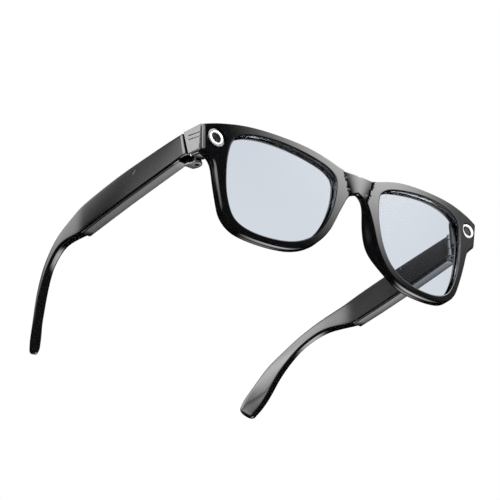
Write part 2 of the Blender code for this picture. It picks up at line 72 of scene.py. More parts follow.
world = bpy.data.worlds.new("studio")
bpy.context.scene.world = world
world.use_nodes = True
w_nodes, w_links = world.node_tree.nodes, world.node_tree.links
w_nodes.clear()
STUDIO_FILL = 0.004
SOFT_BOXES = [  # towards, inner and outer angle, strength
    ((0.52, -0.705, 0.48), 2.0, 26.0, 13.0),
    ((0.735, -0.48, 0.48), 3.0, 25.0, 1.2),
    ((-0.812, 0.244, 0.523), 12.0, 33.0, 9.0),
    ((-0.95, 0.0, 0.10), 8.0, 30.0, 7.0),
    ((0.54, 0.34, -0.77), 6.0, 30.0, 8.0),
    ((-0.265, 0.82, 0.515), 3.0, 19.0, 2.0),
    ((0.10, 0.90, 0.35), 10.0, 40.0, 0.3)]
total = None
for towards, inner, outer, power in SOFT_BOXES:
    patch = spot_on_sky(w_nodes, w_links, towards, inner, outer, power)
    if total is None:
        total = patch.outputs["Result"]
        continue
    add = w_nodes.new("ShaderNodeMath")
    add.operation = "ADD"
    w_links.new(total, add.inputs[0])
    w_links.new(patch.outputs["Result"], add.inputs[1])
    total = add.outputs["Value"]
fill = w_nodes.new("ShaderNodeMath")
fill.operation = "ADD"
fill.inputs[1].default_value = STUDIO_FILL
w_links.new(total, fill.inputs[0])
studio = w_nodes.new("ShaderNodeBackground")
w_links.new(fill.outputs["Value"], studio.inputs["Strength"])
backdrop = w_nodes.new("ShaderNodeBackground")
backdrop.inputs["Color"].default_value = (1, 1, 1, 1)
path = w_nodes.new("ShaderNodeLightPath")
bounces = w_nodes.new("ShaderNodeMath")
bounces.operation = "ADD"
w_links.new(path.outputs["Glossy Depth"], bounces.inputs[0])
w_links.new(path.outputs["Diffuse Depth"], bounces.inputs[1])
seen = w_nodes.new("ShaderNodeMath")        # straight from the camera or through a lens only
seen.operation = "LESS_THAN"
seen.inputs[1].default_value = 0.5
w_links.new(bounces.outputs["Value"], seen.inputs[0])
pick = w_nodes.new("ShaderNodeMixShader")
w_links.new(seen.outputs["Value"], pick.inputs["Fac"])
w_links.new(studio.outputs["Background"], pick.inputs[1])
w_links.new(backdrop.outputs["Background"], pick.inputs[2])
w_out = w_nodes.new("ShaderNodeOutputWorld")
w_links.new(pick.outputs["Shader"], w_out.inputs["Surface"])

FLOOR_DROP, FLOOR_HALF = 1.3, 6.0
floor_mesh = bpy.data.meshes.new("floor")
floor_corners = [(x * FLOOR_HALF, y * FLOOR_HALF, -FLOOR_DROP)
                 for x, y in ((-1, -1), (1, -1), (1, 1), (-1, 1))]
floor_mesh.from_pydata(floor_corners, [], [(0, 1, 2, 3)])
floor = bpy.data.objects.new("floor", floor_mesh)
bpy.context.scene.collection.objects.link(floor)
pale = bpy.data.materials.new("pale_floor")
pale.use_nodes = True
pale_skin = pale.node_tree.nodes["Principled BSDF"]
pale_skin.inputs["Base Color"].default_value = (0.93, 0.93, 0.93, 1)
pale_skin.inputs["Roughness"].default_value = 0.9
floor_mesh.materials.append(pale)
floor.visible_glossy = False                 # the gloss catches the soft boxes only


def soft_light(name, place, at, size, watts):
    """Square soft box at one place, turned to another."""
    data = bpy.data.lights.new(name, "AREA")
    data.energy = watts
    data.size = size
    lamp = bpy.data.objects.new(name, data)
    bpy.context.scene.collection.objects.link(lamp)
    lamp.location = place
    lamp.rotation_euler = (Vector(at) - Vector(place)).to_track_quat("-Z", "Y").to_euler()
    return lamp


key = soft_light("key_soft_box", place=(-0.7, -1.2, -0.1), at=(0, 0, 0.02), size=0.8, watts=30)
key.visible_glossy = False

bpy.context.scene.view_settings.view_transform = "Standard"

# ==== Placing and camera =====================================================================
# The frame's left hinge says where the wearer's frame lies and how far it is tipped. A long lens
# looks up at the glasses from the wearer's right.
HINGE_X, HINGE_Y, HINGE_Z = 67.3, 11.3, -6.4
fold = {j["name"]: j for j in frame["record"]["behaviour"]["joints"]}["temple_left_fold"]
tip_over = Matrix.Rotation(-math.atan2(fold["axis"][1], fold["axis"][2]), 4, "X")
pin_at = Vector(fold["pos_m"]) * 1000 - tip_over @ Vector((HINGE_X, HINGE_Y, HINGE_Z))
PLACE = Matrix.Scale(0.001, 4) @ Matrix.Translation(pin_at) @ tip_over

eye = bpy.data.cameras.new("long_lens")
eye.lens = 167.15
eye.sensor_width = 36
eye.clip_start, eye.clip_end = 0.01, 50
viewer = bpy.data.objects.new("viewer", eye)
bpy.context.scene.collection.objects.link(viewer)
stands = Vector((-536, -619.24, -489.69))
looks_at = Vector((-29.8, 27.03, -31.75))
upright = Vector((0, -0.048, 0.9988))
sight = (looks_at - stands).normalized()
right_hand = sight.cross(upright).normalized()
aim = Matrix((right_hand, right_hand.cross(sight), -sight)).transposed()
viewer.matrix_world = Matrix.Translation(PLACE @ stands) @ (tip_over.to_3x3() @ aim).to_4x4()
bpy.context.scene.camera = viewer

# ==== Face of the glasses ====================================================================
# One polished black moulding that carries both lens openings, the bridge and the two ends. Its
# outer edge is cut to a crisp chamfer. The bridge is set back behind two creases and swells again
# in the middle.
GAP = 0.3
HALF_W, WRAP = 72.0, 0.0018
LEAN, CURL = -0.119, 0.0019
BRIDGE_TOP, BRIDGE_BOTTOM = -4.5, -12.2
HOLLOW, HOLLOW_SWELL = 0.7, 0.65
CREASE_TOP, CREASE_LEAN = 8.0, 0.36
STEP = 0.7                 # spacing of points along the outline
OUTLINE = [  # outer edge x, z and the lens opening x, z beside it
    (0, -4.5, 12.2, -8.6), (8, -4.2, 14.2, -6.7), (14, -2.3, 17.6, -5.0), (22, 0.0, 23.6, -3.4),
    (30, 1.3, 29.9, -2.1), (38, 2.1, 38, -0.95), (47, 2.7, 46, -0.6), (56, 2.6, 52.9, -1.3),
    (64, 1.6, 57.1, -2.9), (69, 0.7, 58.9, -4.6), (72, 0.0, 59.9, -6.8), (71.3, -10.8, 60.6, -10.3),
    (69, -12.0, 60.9, -12.9), (67.2, -13.8, 60.95, -15.2), (66.0, -16.5, 60.9, -18), (65, -21, 60.6, -22),
    (63.6, -26.5, 59.9, -26.6), (62.2, -31, 58.5, -31.2), (60.9, -34.8, 57, -34.4),
    (58.8, -37.7, 55.6, -36.3), (56.3, -39.8, 53.7, -37.8), (53, -41.5, 50.8, -39.2),
    (47, -42.8, 46, -40.4), (41, -43.4, 40, -40.9), (35.5, -43.5, 34.2, -40.75), (30, -43.1, 29, -39.9),
    (25.3, -42.0, 25, -38.5), (21, -40.1, 21.4, -36.5), (17.3, -37.3, 18.5, -34), (14, -33.6, 16, -30.6),
    (11.6, -29.8, 14.3, -27.3), (9.8, -25.5, 13, -23.8), (8.2, -21.8, 12.1, -20.6),
    (6.7, -18.6, 11.55, -17.4), (5.1, -15.3, 11.35, -14.3), (3, -13.1, 11.3, -12.4), (0, -12.2, 11.5, -10.5)]
CORNERS = (10, 11)


def face_y(x, z):
    """Front surface: wrapped round the head, leaning in and curling under at the bottom."""
    return LEAN * z + CURL * z * z - WRAP * (HALF_W ** 2 - x * x)


def bridge_hollow(x, z):
    """How far the bridge lies behind the face surface; the creases close in downwards."""
    crease = CREASE_TOP + (z - BRIDGE_TOP) * CREASE_LEAN
    q = abs(x) / max(crease, 1.0)
    return HOLLOW - HOLLOW_SWELL * (1 - q * q) if q < 1 and z > -16 else 0.0


def spline(p0, p1, p2, p3, t):
    """Point on the smooth curve from p1 to p2."""
    return [0.5 * (2 * b + (c - a) * t + (2 * a - 5 * b + 4 * c - d) * t * t
                   + (3 * b - a - 3 * c + d) * t ** 3) for a, b, c, d in zip(p0, p1, p2, p3)]


def mend(rows, fixed, rounds):
    """Evens out a run of points; the fixed ones stay."""
    for _ in range(rounds):
        rows = [r if i in fixed or i in (0, len(rows) - 1) else
                [(a + 2 * b + c) / 4 for a, b, c in zip(rows[i - 1], r, rows[i + 1])]
                for i, r in enumerate(rows)]
    return rows


def front_columns():
    """Stations round one half: outer x, z, opening x, z; and which are on the centre line."""
    last = len(OUTLINE) - 1
    before = (-OUTLINE[1][0], OUTLINE[1][1]) + OUTLINE[last][2:]
    after = (-OUTLINE[last - 1][0], OUTLINE[last - 1][1]) + OUTLINE[0][2:]
    rows, sharp = [], []
    for i in range(last):
        p1, p2 = OUTLINE[i], OUTLINE[i + 1]
        p0 = before if i == 0 else (p1 if i in CORNERS else OUTLINE[i - 1])
        p3 = after if i + 1 == last else (p2 if i + 1 in CORNERS else OUTLINE[i + 2])
        span = max(math.hypot(p2[0] - p1[0], p2[1] - p1[1]), math.hypot(p2[2] - p1[2], p2[3] - p1[3]))
        steps = max(3, round(span / STEP))
        if i in CORNERS:
            sharp.append(len(rows))
        for k in range(steps):
            q = spline(p0, p1, p2, p3, k / steps)
            lens = spline(OUTLINE[i - 1] if i else before, p1, p2,
                          OUTLINE[i + 2] if i + 1 < last else after, k / steps)
            rows.append(q[:2] + lens[2:])
    rows.append(list(OUTLINE[last]))
    rows = mend(rows, sharp, 10)
    rows = mend(rows, [], 1)
    columns = [(r, None) for r in rows]
    middle = 14
    for k in range(1, middle):
        t = k / middle
        a, b = rows[-1], rows[0]
        opening = spline(rows[-4][2:], a[2:], b[2:], rows[3][2:], t)
        columns.append(([0.0, a[1] + t * (b[1] - a[1])] + opening, t))
    return columns, len(rows)


COLUMNS, EDGE_COUNT = front_columns()


def station(i, kind, r):
    """Point of column i, r mm in from its outer edge, out from its opening, or a fraction."""
    (ox, oz, ix, iz), t = COLUMNS[i]
    w = math.hypot(ox - ix, oz - iz)
    ux, uz = (ox - ix) / w, (oz - iz) / w
    centre = t is not None or i in (0, EDGE_COUNT - 1)
    if kind == "in":
        return ix + ux * r, iz + uz * r
    if kind == "out" and not centre:
        return ox - ux * r, oz - uz * r
    if centre and kind == "out":
        low, high = BRIDGE_BOTTOM + r, BRIDGE_TOP - r
        u = t if t is not None else (1.0 if i == 0 else 0.0)
        return 0.0, low + (high - low) * u
    a, b, f = r                       # from a mm outside the opening to b mm inside the edge
    x0, z0 = station(i, "in", a)
    x1, z1 = station(i, "out", b)
    return x0 + (x1 - x0) * f, z0 + (z1 - z0) * f


def crisp(ob, angle):
    """Smooth shading with every edge sharper than the angle, in degrees, kept sharp."""
    ob.data.shade_smooth()
    ob.data.set_sharp_from_angle(angle=math.radians(angle))


def solid(name, verts, faces, material, keep=30, merge=1e-4):
    """Closed piece from millimetre points, put in its place."""
    me = bpy.data.meshes.new(name)
    me.from_pydata([tuple(v) for v in verts], [], faces)
    bm = bmesh.new()
    bm.from_mesh(me)
    bmesh.ops.remove_doubles(bm, verts=bm.verts, dist=merge)
    bmesh.ops.recalc_face_normals(bm, faces=bm.faces)
    bm.to_mesh(me)
    bm.free()
    me.transform(PLACE)
    ob = bpy.data.objects.new(name, me)
    bpy.context.scene.collection.objects.link(ob)
    if material:
        me.materials.append(material)
    crisp(ob, keep)
    return ob


def around_front(name, profile, edge_only, material, keep=30):
    """Both halves of a moulding that follows the outline; profile(i) gives one cross-section."""
    verts, faces = [], []
    count = len(COLUMNS)
    for side in (1, -1):
        base = len(verts)
        rings = [profile(i) for i in range(count)]
        m = len(rings[0])
        for ring in rings:
            verts += [(side * x, y, z) for x, y, z in ring]
        for i in range(count):
            j = (i + 1) % count
            on_centre = i >= EDGE_COUNT - 1
            for k in range(m):
                n = (k + 1) % m
                if on_centre and k in edge_only:
                    continue
                f = [base + i * m + k, base + i * m + n, base + j * m + n, base + j * m + k]
                faces.append(f if side > 0 else f[::-1])
    return solid(name, verts, faces, material, keep)


def chamfer_at(x):
    """The chamfer widens at the two ends."""
    return 0.5 + 0.35 * max(0.0, min(1.0, (abs(x) - 66) / 5))


FACE_STEPS = 14
FACE_PROFILE = [("in", 0.9, 2.0), ("in", 0.9, 1.25), ("in", 0.2, 1.2), ("in", 0.06, 1.14), ("in", 0, 1.0),
                ("in", 0, 0.42), ("in", 0.05, 0.22), ("in", 0.16, 0.08), ("in", 0.32, 0.02)]
FACE_PROFILE += [("mix", (0.5, None, k / FACE_STEPS), 0.0) for k in range(FACE_STEPS + 1)]
FIRST_EDGE = len(FACE_PROFILE) - 1
FACE_PROFILE += [("out", 0.85, 0.02), ("out", 0.1, 0.9), ("out", 0.0, 1.06), ("out", 0, 1.85),
                 ("out", 0.12, 2.0)]
LAST_EDGE = len(FACE_PROFILE) - 1
FACE_PROFILE += [("mix", (0.9, 0.12, 0.5), 2.0)]


def face_section(i):
    """Face moulding at column i."""
    ch = chamfer_at(COLUMNS[i][0][0])
    points = []
    for kind, r, d in FACE_PROFILE:
        if kind == "mix" and r[1] is None:
            r = (r[0], ch, r[2])
        if kind == "out" and d < 1.5:
            r, d = r * ch, d * ch
        x, z = station(i, kind, r)
        if d < 1.5:
            d += bridge_hollow(x, z)
        points.append((x, face_y(x, z) + d, z))
    return points


def grain_group():
    """Fine moulding texture: mottled tone, uneven polish and tiny relief."""
    g = bpy.data.node_groups.new("moulded_grain", "ShaderNodeTree")
    for name, low in (("Cloud Scale", 30.0), ("Grain Scale", 2500.0), ("Polish", 0.1), ("Unevenness", 0.03)):
        s = g.interface.new_socket(name, in_out="INPUT", socket_type="NodeSocketFloat")
        s.default_value = low
    for name in ("Roughness", "Tone", "Height"):
        g.interface.new_socket(name, in_out="OUTPUT", socket_type="NodeSocketFloat")
    n, l = g.nodes, g.links
    given, out = n.new("NodeGroupInput"), n.new("NodeGroupOutput")
    where = n.new("ShaderNodeTexCoord")
    clouds = n.new("ShaderNodeTexNoise")
    clouds.inputs["Detail"].default_value = 4
    grain = n.new("ShaderNodeTexNoise")
    grain.inputs["Detail"].default_value = 2
    for tex, size in ((clouds, "Cloud Scale"), (grain, "Grain Scale")):
        l.new(where.outputs["Object"], tex.inputs["Vector"])
        l.new(given.outputs[size], tex.inputs["Scale"])
    centred = n.new("ShaderNodeMath")
    centred.operation = "SUBTRACT"
    centred.inputs[1].default_value = 0.5
    l.new(clouds.outputs["Fac"], centred.inputs[0])
    spread = n.new("ShaderNodeMath")
    spread.operation = "MULTIPLY_ADD"
    l.new(centred.outputs["Value"], spread.inputs[0])
    l.new(given.outputs["Unevenness"], spread.inputs[1])
    l.new(given.outputs["Polish"], spread.inputs[2])
    l.new(spread.outputs["Value"], out.inputs["Roughness"])
    l.new(clouds.outputs["Fac"], out.inputs["Tone"])
    l.new(grain.outputs["Fac"], out.inputs["Height"])
    return g


GRAIN = grain_group()


def moulded(name, dark, light, polish, uneven, relief, clouds=30.0, grain=2500.0, metal=0.0, shine=0.5):
    """Moulded or painted finish between two tones."""
    m = bpy.data.materials.new(name)
    m.use_nodes = True
    n, l = m.node_tree.nodes, m.node_tree.links
    skin = n["Principled BSDF"]
    g = n.new("ShaderNodeGroup")
    g.node_tree = GRAIN
    g.inputs["Cloud Scale"].default_value = clouds
    g.inputs["Grain Scale"].default_value = grain
    g.inputs["Polish"].default_value = polish
    g.inputs["Unevenness"].default_value = uneven
    tones = n.new("ShaderNodeMix")
    tones.data_type = "RGBA"
    tones.inputs["A"].default_value = (*dark, 1)
    tones.inputs["B"].default_value = (*light, 1)
    l.new(g.outputs["Tone"], tones.inputs["Factor"])
    l.new(tones.outputs["Result"], skin.inputs["Base Color"])
    l.new(g.outputs["Roughness"], skin.inputs["Roughness"])
    bump = n.new("ShaderNodeBump")
    bump.inputs["Strength"].default_value = relief
    bump.inputs["Distance"].default_value = 0.00002
    l.new(g.outputs["Height"], bump.inputs["Height"])
    l.new(bump.outputs["Normal"], skin.inputs["Normal"])
    skin.inputs["Metallic"].default_value = metal
    skin.inputs["Specular IOR Level"].default_value = shine
    return m


polished_black = moulded("polished_black", (0.0016, 0.0016, 0.0019), (0.0026, 0.0026, 0.003),
                         0.07, 0.03, 0.02, clouds=40, grain=1400)
face = around_front("front_face", face_section, range(FIRST_EDGE, LAST_EDGE), polished_black)


def cut(ob, tool):
    """Takes the tool's shape out of a piece."""
    m = ob.modifiers.new("cut", "BOOLEAN")
    m.operation, m.solver, m.object = "DIFFERENCE", "EXACT", tool
    bpy.context.view_layer.update()
    cut_mesh = bpy.data.meshes.new_from_object(ob.evaluated_get(bpy.context.evaluated_depsgraph_get()))
    ob.modifiers.clear()
    old, ob.data = ob.data, cut_mesh
    bpy.data.meshes.remove(old)
    bpy.data.objects.remove(tool)
    return ob


def lathe(name, x, z, profile, material, turns=96, keep=30):
    """Turned piece facing -Y: profile of (radius, y), closed on itself or on its axis."""
    verts, faces = [], []
    m = len(profile)
    for k in range(turns):
        a = 2 * math.pi * k / turns
        verts += [(x + r * math.cos(a), y, z + r * math.sin(a)) for r, y in profile]
    solid_core = profile[0][0] == 0
    for k in range(turns):
        a, b = k * m, ((k + 1) % turns) * m
        for i in range(m - 1 if solid_core else m):
            j = (i + 1) % m
            quad = [a + i, a + j, b + j, b + i]
            if profile[i][0] == 0:
                quad = [a + i, a + j, b + j]
            elif profile[j][0] == 0:
                quad = [a + i, a + j, b + i]
            faces.append(quad)
    return solid(name, verts, faces, material, keep, merge=1e-5)


EYE_X, EYE_Z = 66.2, -5.1
EYE_Y = face_y(EYE_X, EYE_Z)
DISH_R = 4.3
# the camera's end takes a dished plate, the light's end only the ring itself
for x, r in ((-EYE_X, DISH_R), (EYE_X, 3.45)):
    cut(face, lathe("bore", x, EYE_Z, [(0, -6), (r, -6), (r, 6), (0, 6)], None))


def loft(name, rings, material, keep=30):
    """Closed skin over rings with the same number of points."""
    n = len(rings[0])
    verts = [p for ring in rings for p in ring]
    faces = [list(range(n))[::-1], [(len(rings) - 1) * n + i for i in range(n)]]
    for k in range(len(rings) - 1):
        for i in range(n):
            j = (i + 1) % n
            faces.append([k * n + i, k * n + j, (k + 1) * n + j, (k + 1) * n + i])
    return solid(name, verts, faces, material, keep)


def block(name, side, xs, ys, zs):
    """Square-cornered tool between pairs of x, y and z."""
    (x0, x1), (z0, z1) = xs, zs
    corners = ((x0, z0), (x1, z0), (x1, z1), (x0, z1))
    return loft(name, [[(side * x, y, z) for x, z in corners] for y in ys], None)


def end_step(side):
    """Room behind the chamfer where the side plate sits."""
    rings = []
    for z in (-14.0, 4.0):
        y0 = face_y(HALF_W, z) + 1.1
        plan = ((71.0, y0), (76, y0), (76, y0 + 12), (72, y0 + 12))
        rings.append([(side * x, y, z) for x, y in plan])
    return loft("step", rings, None)


for side in (1, -1):
    cut(face, end_step(side))
crisp(face, 30)
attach(face, "front")
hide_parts("front_shell")

# ==== Rear frame =============================================================================
# Polished moulding behind the face. It holds the lenses from the back, swells into the nose pads
# and carries the housings at the two ends.
REAR_T = 4.6
EYE_ROOM_X, EYE_ROOM_Z = (62.9, 69.6), (-9.6, -0.8)      # space behind the camera or the light
PAD_Z, PAD_REACH = -27.0, 13.0
ARCH = 2.2


def smooth_step(v, low, high):
    """0 at low, 1 at high, eased at both."""
    t = max(0.0, min(1.0, (v - low) / (high - low)))
    return t * t * (3 - 2 * t)


def pad_bulge(z):
    """Share of the nose pad's full swell at a height."""
    t = (z - PAD_Z) / PAD_REACH
    return max(0.0, 1 - t * t) ** 1.5


REAR_PROFILE = [("in", 0.9, 2.3), ("in", 0.9, 3.4), ("in", 0.2, 3.4), ("in", 0.05, 3.45), ("in", 0, 3.56),
                ("in", 0.02, 4.0), ("in", 0.1, 4.3), ("in", 0.28, 4.5), ("in", 0.5, 4.58), ("in", 0.8, 4.6)]
REAR_PROFILE += [("mix", (0.8, 1.0, k / 8), 4.6) for k in range(1, 9)]
REAR_EDGE = len(REAR_PROFILE) - 1
REAR_PROFILE += [("out", 0.62, 4.5), ("out", 0.3, 4.25), ("out", 0.08, 3.9), ("out", 0, 3.6), ("out", 0, 3.2),
                 ("out", 0, 2.8), ("out", 0, 2.4), ("out", 0.1, 2.3)]
REAR_LAST = len(REAR_PROFILE) - 1
REAR_PROFILE += [("mix", (0.9, 0.1, 0.5), 2.3)]


def rear_section(i):
    """Rear moulding at column i, with the nose pad's swell and the arch under the bridge."""
    (ox, oz, ix, iz), t = COLUMNS[i]
    w = math.hypot(ox - ix, oz - iz)
    ux, uz = (ox - ix) / w, (oz - iz) / w
    on_rim = t is None and 0 < i < EDGE_COUNT - 1 and ox < 20 and oz < -14
    pad = pad_bulge(oz) if on_rim else 0.0
    points = []
    for kind, r, d in REAR_PROFILE:
        x, z = station(i, kind, r)
        across = ((x - ix) * ux + (z - iz) * uz) / w
        deep = max(0.0, (d - 2.4) / (REAR_T - 2.4))
        swell = pad * deep ** 1.3 * max(0.0, across) ** 1.2
        x += ux * 1.3 * swell
        z += uz * 1.3 * swell
        under = smooth_step(abs(x), 7.5, 2.0) * smooth_step(z, -9.0, BRIDGE_BOTTOM + 0.6)
        points.append((x, face_y(x, z) + d + 4.0 * swell, z + ARCH * deep * under))
    return points


rear = around_front("rear_frame", rear_section, range(REAR_EDGE, REAR_LAST), polished_black)
for side in (1, -1):
    cut(rear, end_step(side))
    cut(rear, block("pocket", side, EYE_ROOM_X, (0.0, 5.4), EYE_ROOM_Z))
crisp(rear, 32)
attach(rear, "front")
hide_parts("rear_shell")


END_SLANT = 0.19


def split_y(z):
    """The joint between an end housing and its temple slants back towards the top."""
    return 8.9 + (z + 11.5) * END_SLANT


def rounded_plan(points, radius, steps=5):
    """Plan outline with its corners rounded."""
    out = []
    n = len(points)
    for i, (x, y) in enumerate(points):
        px, py = points[i - 1]
        qx, qy = points[(i + 1) % n]
        la, lb = math.hypot(px - x, py - y), math.hypot(qx - x, qy - y)
        ra, rb = min(radius, la * 0.45), min(radius, lb * 0.45)
        ax, ay = x + (px - x) / la * ra, y + (py - y) / la * ra
        bx, by = x + (qx - x) / lb * rb, y + (qy - y) / lb * rb
        for k in range(steps + 1):
            t = k / steps
            out.append(((1 - t) ** 2 * ax + 2 * t * (1 - t) * x + t * t * bx,
                        (1 - t) ** 2 * ay + 2 * t * (1 - t) * y + t * t * by))
    return out


KNUCKLE_ROOM = 2.3         # radius left free round the hinge knuckles
HOUSING_LAYERS = [(-11.25, 0.9), (-11.2, 0.55), (-11.0, 0.2), (-10.7, 0.04), (-10.3, 0.0),   # z, inset
                  (0.0, 0.0), (0.35, 0.05), (0.6, 0.22), (0.7, 0.5)]


def post(name, side, radius, low, high, turns=64):
    """Upright round tool on the hinge axis."""
    angles = [2 * math.pi * k / turns for k in range(turns)]
    return loft(name, [[(side * HINGE_X + radius * math.cos(a), HINGE_Y + radius * math.sin(a), z)
                        for a in angles] for z in (low, high)], None)


def end_housing(side, name):
    """Block behind the end of the face, hollow for the camera or the light."""
    rings = []
    for z, inset in HOUSING_LAYERS:
        yb = split_y(z) - 0.2
        plan = [(61.8, 3.4), (70.9, 4.4), (72.25, yb), (66.5, yb), (66.2, 7.4), (61.8, 6.9)]
        cx = sum(p[0] for p in plan) / len(plan)
        cy = sum(p[1] for p in plan) / len(plan)
        shrunk = []
        for x, y in rounded_plan(plan, 0.7):
            d = math.hypot(x - cx, y - cy)
            shrunk.append((side * (cx + (x - cx) * (1 - inset / d)), cy + (y - cy) * (1 - inset / d), z))
        rings.append(shrunk)
    ob = loft(name, rings, polished_black, keep=40)
    cut(ob, post("barrel_room", side, KNUCKLE_ROOM, -14, 4))
    cut(ob, block("room", side, EYE_ROOM_X, (0.0, 6.1), EYE_ROOM_Z))
    cut(ob, block("leaf_slot", side, (66.4, 68.2), (7.0, 12.0), (-8.9, -3.9)))
    crisp(ob, 32)
    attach(ob, "front")
    return ob


end_housing(1, "end_housing_left")
end_housing(-1, "end_housing_right")

# ==== Lenses =================================================================================
# Pale blue-grey tinted sheets, bent to the face and held round the edge in a groove.
LENS_FRONT, LENS_REAR, LENS_EDGE = 1.5, 3.1, 0.6
LENS_RINGS = 12
lens_glass = bpy.data.materials.new("tinted_lens")
lens_glass.use_nodes = True
ln, ll = lens_glass.node_tree.nodes, lens_glass.node_tree.links
glass = ln["Principled BSDF"]
glass.inputs["Transmission Weight"].default_value = 1.0
glass.inputs["IOR"].default_value = 1.12      # stands for an anti-reflection coating
glass.inputs["Roughness"].default_value = 0.0
where = ln.new("ShaderNodeTexCoord")
height = ln.new("ShaderNodeSeparateXYZ")
ll.new(where.outputs["Object"], height.inputs["Vector"])
fade = ln.new("ShaderNodeMapRange")
fade.inputs["From Min"].default_value = 0.002
fade.inputs["From Max"].default_value = 0.048
ll.new(height.outputs["Z"], fade.inputs["Value"])
tint = ln.new("ShaderNodeMix")
tint.data_type = "RGBA"
tint.inputs["A"].default_value = (0.655, 0.70, 0.76, 1)
tint.inputs["B"].default_value = (0.625, 0.665, 0.73, 1)
ll.new(fade.outputs["Result"], tint.inputs["Factor"])
ll.new(tint.outputs["Result"], glass.inputs["Base Color"])


LENS_MIDDLE = (36.5, -22.0)


def lens(side, name, node):
    """Sheet that follows the face surface, in rings from its groove to its middle."""
    loop = []
    for (ox, oz, ix, iz), _ in COLUMNS:
        w = math.hypot(ox - ix, oz - iz)
        loop.append((ix + (ox - ix) / w * LENS_EDGE, iz + (oz - iz) / w * LENS_EDGE))
    (cx, cz), n = LENS_MIDDLE, len(loop)
    verts, faces = [], []
    for d in (LENS_FRONT, LENS_REAR):
        for k in range(LENS_RINGS):
            s = 1 - k / LENS_RINGS
            for x, z in loop:
                px, pz = cx + (x - cx) * s, cz + (z - cz) * s
                verts.append((side * px, face_y(px, pz) + d, pz))
        verts.append((side * cx, face_y(cx, cz) + d, cz))
    half = LENS_RINGS * n + 1
    for b in (0, half):
        for k in range(LENS_RINGS):
            for i in range(n):
                j = (i + 1) % n
                if k == LENS_RINGS - 1:
                    faces.append([b + k * n + i, b + k * n + j, b + LENS_RINGS * n])
                else:
                    faces.append([b + k * n + i, b + k * n + j, b + (k + 1) * n + j, b + (k + 1) * n + i])
    faces += [[i, (i + 1) % n, half + (i + 1) % n, half + i] for i in range(n)]
    ob = solid(name, verts, faces, lens_glass, keep=40)
    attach(ob, "front")
    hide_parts(node)


lens(1, "lens_pane_left", "lens_left")
lens(-1, "lens_pane_right", "lens_right")

# ==== Camera and light =======================================================================
# A bright turned ring round each: a black stepped camera lens on the wearer's right, a small
# light behind dark glass on the left. The camera's ring sits in a shallow dish.
bright = moulded("turned_ring", (0.82, 0.83, 0.84), (0.90, 0.90, 0.91), 0.3, 0.05, 0.05,
                 grain=2000, metal=0.25)
deep_black = moulded("lens_black", (0.002, 0.002, 0.003), (0.004, 0.004, 0.005), 0.3, 0.05, 0.05, shine=0.06)
dark_glass = moulded("dark_glass", (0.002, 0.002, 0.004), (0.005, 0.006, 0.01), 0.03, 0.01, 0.0, shine=0.05)
RING = [(2.32, 1.35), (2.32, 0.4), (2.4, 0.3), (2.5, 0.02), (2.6, -0.1), (2.76, -0.15), (2.92, -0.1),
        (3.02, 0.02), (3.08, 0.22), (3.18, 0.34), (3.18, 1.35)]


def eye_ring(side, name, node):
    ob = lathe(name, side * EYE_X, EYE_Z, [(r, EYE_Y + y) for r, y in RING], bright)
    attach(ob, "front")
    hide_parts(node)


eye_ring(-1, "camera_trim", "camera_ring")
eye_ring(1, "light_trim", "light_ring")
DISH = [(3.3, 0.42), (3.34, 0.34), (3.9, 0.30), (4.12, 0.12), (4.2, 0.03), (4.27, 0.08),
        (4.27, 1.5), (3.3, 1.5)]
dish = lathe("camera_dish", -EYE_X, EYE_Z, [(r, EYE_Y + y + 0.02) for r, y in DISH], polished_black)
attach(dish, "front")
STEPS = [(0, 0.62), (0.42, 0.66), (0.62, 0.74), (0.66, 0.86), (0.9, 0.86), (0.94, 0.70), (1.18, 0.66),
         (1.22, 0.78), (1.5, 0.78), (1.54, 0.60), (1.82, 0.54), (2.0, 0.5), (2.28, 0.5),
         (2.28, 1.3), (0, 1.3)]
camera_eye = lathe("camera_eye", -EYE_X, EYE_Z, [(r, EYE_Y + y) for r, y in STEPS], deep_black)
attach(camera_eye, "front")
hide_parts("camera_window")
PANE = [(0, 0.40), (0.8, 0.42), (1.5, 0.47), (2.1, 0.58), (2.28, 0.7), (2.28, 1.3), (0, 1.3)]
light_pane = lathe("light_pane", EYE_X, EYE_Z, [(r, EYE_Y + y) for r, y in PANE], dark_glass)
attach(light_pane, "front")
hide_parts("light_window")

# ==== Side plates ============================================================================
# Satin grey plates on the ends, each with two short engraved lines from its front edge.
plate_grey = moulded("plate_grey", (0.045, 0.045, 0.047), (0.06, 0.06, 0.063), 0.3, 0.06, 0.1, grain=4000)


PLATE_X, PLATE_FLARE, PLATE_BEVEL = 72.05, 0.19, 0.14
PLATE_LAYERS = [(-10.2, 0.35), (-10.12, 0.12), (-9.95, 0.0),        # z, inset
                (0.45, 0.0), (0.62, 0.12), (0.7, 0.35)]
LINE_HEIGHTS, LINE_END, LINE_HALF, LINE_RISE = (-3.35, -5.2), 8.4, 0.26, 0.137


